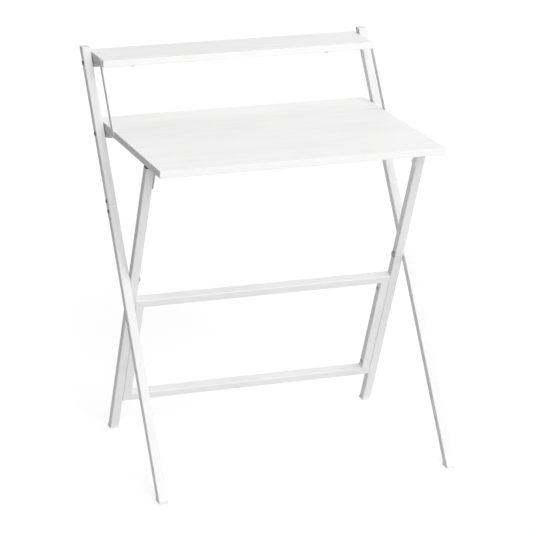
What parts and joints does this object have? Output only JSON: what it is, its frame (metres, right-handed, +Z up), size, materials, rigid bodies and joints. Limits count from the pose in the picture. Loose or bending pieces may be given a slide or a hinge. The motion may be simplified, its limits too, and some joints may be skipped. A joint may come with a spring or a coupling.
{
  "type": "folding computer desk",
  "caption": "Folding desk with crossed tube legs, a wide desktop and a raised rear shelf that lift together on parallel links as the legs close.",
  "frame": {"origin": "on the floor, below the middle of the whole desk's box", "axes": "+X to the right seen from the front, +Y from the front to the rear, +Z up"},
  "size_m": [0.69, 0.623, 0.8807],
  "materials": {
    "white_paint": "satin white powder coat",
    "white_board": "white laminate with a fine pressed grain",
    "white_plastic": "matte",
    "black_plastic": "matte",
    "black_rubber": "matte",
    "steel_fastener": "dark zinc-plated steel"
  },
  "bodies": {
    "leg_frame": {"left_lower_leg": "white_paint", "right_lower_leg": "white_paint", "left_upper_post": "white_paint", "right_upper_post": "white_paint", "left_splice_sleeve": "steel_fastener", "right_splice_sleeve": "steel_fastener", "splice_bolts": "steel_fastener", "splice_nuts": "steel_fastener", "left_top_cap": "white_plastic", "right_top_cap": "white_plastic", "left_front_foot": "white_plastic", "right_front_foot": "white_plastic", "pivot_bolts": "steel_fastener", "pivot_nuts": "steel_fastener", "pivot_washers": "white_plastic", "desktop_hinge_bolts": "steel_fastener", "shelf_hinge_bolts": "steel_fastener", "hinge_spacers": "steel_fastener", "hinge_nuts": "steel_fastener"},
    "inner_frame": {"left_inner_leg": "white_paint", "right_inner_leg": "white_paint", "upper_crossbar": "white_paint", "lower_crossbar": "white_paint", "left_brace_tube": "white_paint", "right_brace_tube": "white_paint", "brace_bolts": "steel_fastener", "brace_nuts": "steel_fastener", "left_rear_foot": "white_plastic", "right_rear_foot": "white_plastic", "left_rest_pad": "black_plastic", "right_rest_pad": "black_plastic", "latch_pins": "steel_fastener", "latch_nuts": "steel_fastener", "pivot_bushes": "white_plastic"},
    "desktop": {"desktop_board": "white_board", "desktop_left_bracket": "white_paint", "desktop_right_bracket": "white_paint", "desktop_bracket_screws": "steel_fastener", "desktop_link_rivets": "steel_fastener", "left_latch_plate": "white_paint", "right_latch_plate": "white_paint", "latch_screws": "steel_fastener"},
    "shelf": {"shelf_board": "white_board", "shelf_left_bracket": "white_paint", "shelf_right_bracket": "white_paint", "shelf_bracket_screws": "steel_fastener", "shelf_link_rivets": "steel_fastener", "shelf_buffers": "black_rubber"},
    "left_link": {"left_link": "white_paint"},
    "right_link": {"right_link": "white_paint"}
  },
  "joints": [
    {"name": "leg_fold", "type": "hinge", "parent": "leg_frame", "child": "inner_frame", "pos_m": [0, -0.01688, 0.418], "axis": [-1, 0, 0], "range_deg": [0, 60]},
    {"name": "desktop_lift", "type": "hinge", "parent": "leg_frame", "child": "desktop", "pos_m": [0, 0.17671, 0.705], "axis": [-1, 0, 0], "range_deg": [0, 60]},
    {"name": "shelf_lift", "type": "hinge", "parent": "leg_frame", "child": "shelf", "pos_m": [0, 0.27249, 0.847], "axis": [-1, 0, 0], "range_deg": [0, 60]},
    {"name": "left_link_swing", "type": "hinge", "parent": "desktop", "child": "left_link", "pos_m": [-0.32145, 0.10071, 0.719], "axis": [-1, 0, 0], "range_deg": [-60, 0]},
    {"name": "right_link_swing", "type": "hinge", "parent": "desktop", "child": "right_link", "pos_m": [0.32145, 0.10071, 0.719], "axis": [-1, 0, 0], "range_deg": [-60, 0]}
  ],
  "couplings": [
    {"joint": "desktop_lift", "follows": "leg_fold", "ratio": 1},
    {"joint": "shelf_lift", "follows": "leg_fold", "ratio": 1},
    {"joint": "left_link_swing", "follows": "leg_fold", "ratio": -1},
    {"joint": "right_link_swing", "follows": "leg_fold", "ratio": -1}
  ]
}
